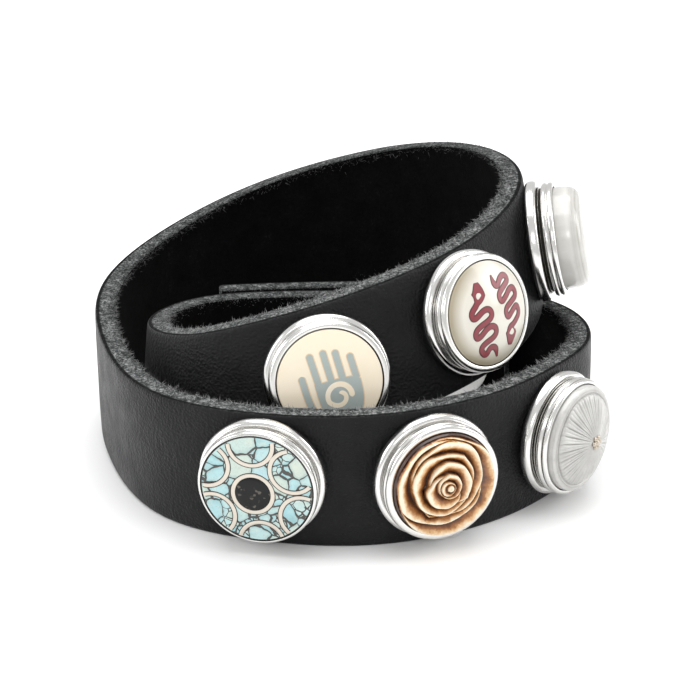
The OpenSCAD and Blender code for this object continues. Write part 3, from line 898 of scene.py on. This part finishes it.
# pearl: a thick dome with a rounded shoulder
pearl = {"height": 4.5, "shoulder": 1.6}
domeTop = lip + pearl["height"]
pearlR = inlayRadius["pearl"]
pearlProfile = [(pearlR - 0.1, inlayFloor), (pearlR, inlayFloor + 0.1), (pearlR, lip + 0.5),
                (pearlR - 0.03, lip + pearl["shoulder"])]
pearlProfile += [(pearlR * (0.72 + 0.28 * cos(radians(a))) - 0.03,
                  lip + pearl["shoulder"] + (pearl["height"] - 2) * sin(radians(a))) for a in range(8, 88, 8)]
pearlProfile += [(pearlR * 0.66, domeTop - 0.33), (pearlR * 0.5, domeTop - 0.17),
                 (pearlR * 0.25, domeTop - 0.05), (0.15, domeTop)]
dome = mappedDisc("pearlDome", pearlProfile, 50)
finishInlay(dome, "pearl", "pearl_inlay", pearlGlass, ["pearl_dome"])

# mosaic: chips in resin, silver wires and a black stone
mosaic = {"stoneAt": (-0.6, -0.9), "stone": 5.5, "wire": 0.6, "wireRise": 0.09, "lineRise": 0.045,
          "lineGrow": 0.13, "arcR": 3.7, "steps": 120,
          # columns: direction of the arc's middle from the stone in degrees, distance
          "arcs": [(92, 8.1), (35, 7.4), (-23, 8.2), (-81, 8.1), (-147, 7.4), (150, 8.2)]}
chipTop = lip - 0.05
chipR = inlayRadius["mosaic"]
chipProfile = [(chipR - 0.1, inlayFloor), (chipR, inlayFloor + 0.1), (chipR, chipTop - 0.05),
               (chipR - 0.05, chipTop), (chipR * 0.5, chipTop + 0.02), (0.15, chipTop + 0.02)]
disc = mappedDisc("mosaicDisc", chipProfile, 30)
finishInlay(disc, "mosaic", "mosaic_inlay", shellMosaic, ["mosaic_disc"])
sx, sy = mosaic["stoneAt"]

def wireArc(name, cx, cy, radius, limit, half, rise):
    # a flat wire with rounded shoulders, round a centre, kept inside the limit round the disc's middle
    # columns: distance across, height as a share of the wire's
    section = [(-half, -1.1), (-half, 0.55), (-half * 0.75, 0.9), (-half * 0.3, 1.0), (half * 0.3, 1.0),
               (half * 0.75, 0.9), (half, 0.55), (half, -1.1)]
    mid = radius - mosaic["wire"] / 2
    count = mosaic["steps"]
    inside = []
    for a in range(count):
        x, y = cos(2 * pi * a / count), sin(2 * pi * a / count)
        reach = max(hypot(cx + rr * x, cy + rr * y) for rr in (mid - half, mid + half))
        if limit is None or reach < limit:
            inside.append(a)
    closed = len(inside) == count
    if not closed:
        start = next(k for k in inside if (k - 1) % count not in inside)
        inside = [(start + k) % count for k in range(len(inside))]
    pts, quads = [], []
    m = len(section)
    for a in inside:
        x, y = cos(2 * pi * a / count), sin(2 * pi * a / count)
        pts += [(cx + (mid + du) * x, cy + (mid + du) * y, chipTop + rise * dz) for du, dz in section]
    n = len(inside)
    for k in range(n if closed else n - 1):
        after = (k + 1) % n
        quads += [(k * m + j, k * m + (j + 1) % m, after * m + (j + 1) % m, after * m + j) for j in range(m)]
    if not closed:
        quads += [tuple(range(m)), tuple(range((n - 1) * m, n * m))]
    obj = meshPiece(name, pts, quads)
    facesOutward(obj)
    smoothByAngle(obj, 50)
    return obj

circles = [(sx, sy, mosaic["stone"] / 2 + mosaic["wire"], None)]
circles += [(sx + far * cos(radians(way)), sy + far * sin(radians(way)), mosaic["arcR"], chipR - 0.1)
            for way, far in mosaic["arcs"]]
# a thin dark line of resin shows on both sides of each wire
wireHalf = mosaic["wire"] / 2
lineHalf = wireHalf + mosaic["lineGrow"]
resinLines = [wireArc("line", *circle, lineHalf, mosaic["lineRise"]) for circle in circles]
finishInlay(joined("mosaic_resin", resinLines), "mosaic", "mosaic_resin", groovePatina)
for k, circle in enumerate(circles):
    name, node = ("mosaic_wire_%d" % k, "mosaic_arc_%d" % k) if k else ("mosaic_wire_ring", "mosaic_ring")
    wire = wireArc(name, *circle, wireHalf, mosaic["wireRise"])
    finishInlay(wire, "mosaic", name, wireSilver, [node])
stoneR = mosaic["stone"] / 2 - 0.03
stone = turned("stone", [(stoneR, lip - 0.45), (stoneR, chipTop), (stoneR - 0.1, chipTop + 0.07),
                         (stoneR * 0.6, chipTop + 0.12), (0.1, chipTop + 0.14)], 64)
moveFlat(stone, sx, sy)
smoothByAngle(stone, 40)
finishInlay(stone, "mosaic", "mosaic_stone", blackStone, ["black_stone"])
print("mosaic set")

# rose: petals that lie over each other, each a round leaf with a thick rim and a hollow toward the next
rose = {"around": 340, "rings": 118,
        # the slope from leaf to leaf, the rim's rounding, and how narrow a tip is in radians
        "wall": 0.2, "roll": 0.3, "rollDrop": 0.22, "tipAngle": 0.3,
        # from the outside in. columns: x and y of the leaf's middle, radius, height of the rim, depth of
        # the hollow, direction of the leaf's pointed tip in degrees, how far the tip reaches
        "petals": [(0.0, 0.0, 8.6, 0.7, 0.5, 0, 0), (0.45, -0.45, 8.0, 1.15, 0.95, 20, 0.03),
                   (-0.9, 0.6, 6.7, 1.55, 1.15, -150, 0.05), (0.0, 1.45, 5.75, 1.85, 1.1, -118, 0.16),
                   (-0.85, 0.65, 4.9, 2.1, 1.15, 50, 0.12), (0.15, 0.75, 3.45, 2.35, 1.05, -43, 0.14),
                   (-0.75, -0.5, 2.65, 2.48, 1.0, 170, 0.12), (0.1, 0.35, 1.9, 2.58, 0.85, 95, 0.12),
                   (-0.2, 0.1, 1.15, 2.62, 0.6, 0, 0.1), (0.15, 0.1, 0.55, 2.6, 0.1, 0, 0)]}
roseR = inlayRadius["rose"]

def insideLeaf(k, x, y):
    # distance from the leaf's wavy rim, positive inside
    px, py, radius, _, _, way, reach = rose["petals"][k]
    a = atan2(y - py, x - px)
    fromTip = (a - radians(way) + pi) % (2 * pi) - pi
    radius *= 1 + reach * exp(-abs(fromTip) / rose["tipAngle"])
    wavy = 0.025 * radius * sin(3 * a + 1.7 * k) + 0.012 * radius * sin(7 * a + 2.9 * k)
    return radius + wavy - hypot(x - px, y - py)

def roseAt(x, y):
    # height over the lip and how deep in a hollow, leaf over leaf from the outside in
    depths = [insideLeaf(k, x, y) for k in range(len(rose["petals"]))]
    height, hollow = 0.0, 1.0
    for k, (_, _, _, rim, bowl, _, _) in enumerate(rose["petals"]):
        shown = min(1, max(0, depths[k] / rose["wall"] + 0.5))
        if shown == 0:
            continue
        toNext = min([-d for d in depths[k + 1:]], default=2.0)
        d = max(0, depths[k])
        share = d / (d + max(0.02, toNext))
        roll = rose["rollDrop"] * max(0, 1 - d / rose["roll"]) ** 2
        own = rim - roll - bowl * share ** 1.6
        shown = shown * shown * (3 - 2 * shown)
        height += (own - height) * shown
        # the outermost leaf counts as wholly hollow, so it takes the darkest brown: painted shade round the
        # rose's foot
        hollow += ((share ** 1.05 if toNext > 0 and k > 0 else 1.0) - hollow) * shown
    return height, hollow

around, ringCount = rose["around"], rose["rings"]
points, hollows = [(0.0, 0.0, lip + roseAt(0, 0)[0])], [roseAt(0, 0)[1]]
for i in range(1, ringCount + 1):
    sinks = 0.5 * max(0, (i - ringCount + 3) / 3)  # the last rings go down to the bezel
    for x, y, _ in circlePoints(roseR * i / ringCount, 0, around):
        height, hollow = roseAt(x, y)
        height += 0.05 * noise.noise(Vector((x * 1.3, y * 1.3, 3)))
        points.append((x, y, lip + max(0, height - sinks)))
        hollows.append(hollow)
points += circlePoints(roseR, inlayFloor, around)
hollows += [1.0] * around
faces = [(0, 1 + j, 1 + (j + 1) % around) for j in range(around)]
for i in range(ringCount):
    faces += ringFaces(1 + i * around, 1 + (i + 1) * around, around)
faces.append(tuple(1 + ringCount * around + j for j in reversed(range(around))))
bloom = carvedPiece("rose", points, faces, "hollow", hollows)
smoothByAngle(bloom, 75)
finishInlay(bloom, "rose", "rose_inlay", carvedCream, ["rose_carving"])
print("rose carved:", len(bloom.data.polygons), "faces")

# ribbed dome: ridges with a finer line on each, from a knob to a flat rim
ribR = inlayRadius["rib"]
rib = {"count": 30, "height": 3.4, "perRib": 16, "beads": 6, "beadsAt": 0.82,
       # columns: radius, height as a share of the dome's, height of the ribs, darkening on a ring without
       # ribs
       "profile": [(0.9, 1.0, 0.0, 0), (1.4, 0.98, 0.06, 0), (2.2, 0.91, 0.13, 0), (3.2, 0.82, 0.18, 0),
                   (4.3, 0.71, 0.22, 0), (5.4, 0.6, 0.24, 0), (6.3, 0.5, 0.22, 0), (6.9, 0.43, 0.14, 0),
                   (7.1, 0.37, 0.05, 0), (7.15, 0.3, 0, 0.9), (7.3, 0.29, 0, 0.9), (7.4, 0.32, 0, 0),
                   (7.55, 0.33, 0, 0), (7.65, 0.29, 0, 0.9), (ribR - 0.35, 0.27, 0, 0),
                   (ribR - 0.1, 0.23, 0, 0), (ribR, 0.14, 0, 0), (ribR, -0.02, 0, 0)]}
around = rib["count"] * rib["perRib"]
points, grooves = [], []
for rr, share, ridge, ringDarkening in rib["profile"]:
    for j, (x, y, _) in enumerate(circlePoints(rr, 0, around)):
        t = (j % rib["perRib"]) / rib["perRib"]
        # a narrow groove between the ribs and a shallower one along each
        cut = exp(-((min(t, 1 - t)) / 0.1) ** 2) + 0.5 * exp(-((t - 0.5) / 0.09) ** 2)
        points.append((x, y, lip + share * rib["height"] - ridge * cut))
        grooves.append(min(1, cut) if ridge > 0 else ringDarkening)
points += circlePoints(ribR, inlayFloor, around)
grooves += [0] * around
faces = []
for i in range(len(rib["profile"])):
    faces += ringFaces(i * around, (i + 1) * around, around)
faces.append(tuple(range(around)))
faces.append(tuple(reversed(range(len(points) - around, len(points)))))
ribbed = carvedPiece("ribbed", points, faces, "groove", grooves)
smoothByAngle(ribbed, 38)
finishInlay(ribbed, "rib", "rib_inlay", ribbedSilver, ["rib_dome"])
knobZ = lip + rib["height"]
knobParts = [turned("knob", [(0.55, knobZ - 0.3), (0.62, knobZ + 0.1), (0.5, knobZ + 0.35),
                             (0.3, knobZ + 0.48), (0.08, knobZ + 0.52)], 24)]
for x, y, _ in circlePoints(rib["beadsAt"], 0, rib["beads"]):
    bead = turned("bead", [(0.14, knobZ - 0.12), (0.36, knobZ), (0.4, knobZ + 0.12), (0.32, knobZ + 0.28),
                           (0.14, knobZ + 0.38), (0.03, knobZ + 0.4)], 16)
    moveFlat(bead, x, y)
    knobParts.append(bead)
knob = joined("knob", knobParts)
smoothByAngle(knob, 50)
finishInlay(knob, "rib", "rib_flower", paleGold, ["rib_knob"])
print("ribbed dome ready")

# closure stud: a shank with a flat cap on each side of the overlapped ends
closure = {"radius": 6.5, "shank": 2.0, "inner": -3.5, "outer": 4.95, "cap": 0.9}
capR, shankR, inner, outer = closure["radius"], closure["shank"], closure["inner"], closure["outer"]
closureProfile = ([(0.2, inner - closure["cap"]), (capR - 0.9, inner - closure["cap"])]
                  + arcPoints(capR - 0.5, inner - 0.45, 0.5, 0.45, -80, 60, 7)
                  + [(capR - 0.3, inner), (shankR, inner), (shankR, outer), (capR - 0.3, outer)]
                  + arcPoints(capR - 0.5, outer + 0.45, 0.5, 0.45, -60, 80, 7)
                  + [(capR - 0.9, outer + closure["cap"]), (0.2, outer + closure["cap"])])
stud = turned("stud", closureProfile, 80)
smoothByAngle(stud, 38)
finish(stud, "closure_caps", placeOnStrap(strap["closureAt"]), ringSilver, "band",
       ["closure_stud"])

# floor, light and camera, in metres
stage = {"table": 6, "sky": 0.78,
         # columns: name, place, aim, width, height, power in watts
         "lights": [("overhead", (0.0, 0.12, 0.6), (0, 0.02, 0), 0.6, 0.6, 3.3),
                    ("leftBox", (-0.6, -0.1, 0.28), (0, 0, 0.02), 0.3, 0.4, 1.5),
                    ("rightBox", (0.55, 0.05, 0.25), (0, 0, 0.02), 0.25, 0.4, 1.2),
                    ("frontBox", (0.05, -0.8, 0.45), (0, 0, 0.02), 0.35, 0.2, 1.2)]}
deselectAll()
bpy.ops.mesh.primitive_plane_add(size=stage["table"], location=(0, 0, 0))
table = bpy.context.object
table.name = "table_top"
paleTable = Finish("paleTable", grey(0.93), 0.55)
paleTable.link(paleTable.mix(paleTable.noise(paleTable.coords(), 3.0, 2), grey(0.93), grey(0.9)))
table.data.materials.append(paleTable.mat)

world = bpy.data.worlds.new("softSky")
scene.world = world
world.use_nodes = True
world.node_tree.nodes["Background"].inputs["Color"].default_value = (1, 1, 1, 1)
world.node_tree.nodes["Background"].inputs["Strength"].default_value = stage["sky"]

for name, place, aim, width, height, power in stage["lights"]:
    light = bpy.data.lights.new(name, "AREA")
    light.shape = "RECTANGLE"
    light.size, light.size_y = width, height
    light.energy = power
    lamp = bpy.data.objects.new(name, light)
    bpy.context.collection.objects.link(lamp)
    lamp.location = place
    lamp.rotation_euler = (Vector(aim) - Vector(place)).to_track_quat("-Z", "Y").to_euler()

# the photograph's view: degrees, and millimetres for the rest
cameraView = {"elevation": 22, "distance": 430, "target": (0, 0, 24), "lens": 143.74, "sensor": 36}
lens = bpy.data.cameras.new("photoCamera")
lens.lens = cameraView["lens"]
lens.sensor_width = cameraView["sensor"]
lens.clip_start = 0.01
camera = bpy.data.objects.new("photoCamera", lens)
bpy.context.collection.objects.link(camera)
tilt = radians(cameraView["elevation"])
target = Vector(cameraView["target"]) + Vector(strap["planShift"])
camera.location = (target + cameraView["distance"] * Vector((0, -cos(tilt), sin(tilt)))) * mm
camera.rotation_euler = (pi / 2 - tilt, 0, 0)
scene.camera = camera
scene.view_settings.view_transform = "Standard"
scene.view_settings.look = "None"
scene.view_settings.exposure = 0.0
print("stage ready")
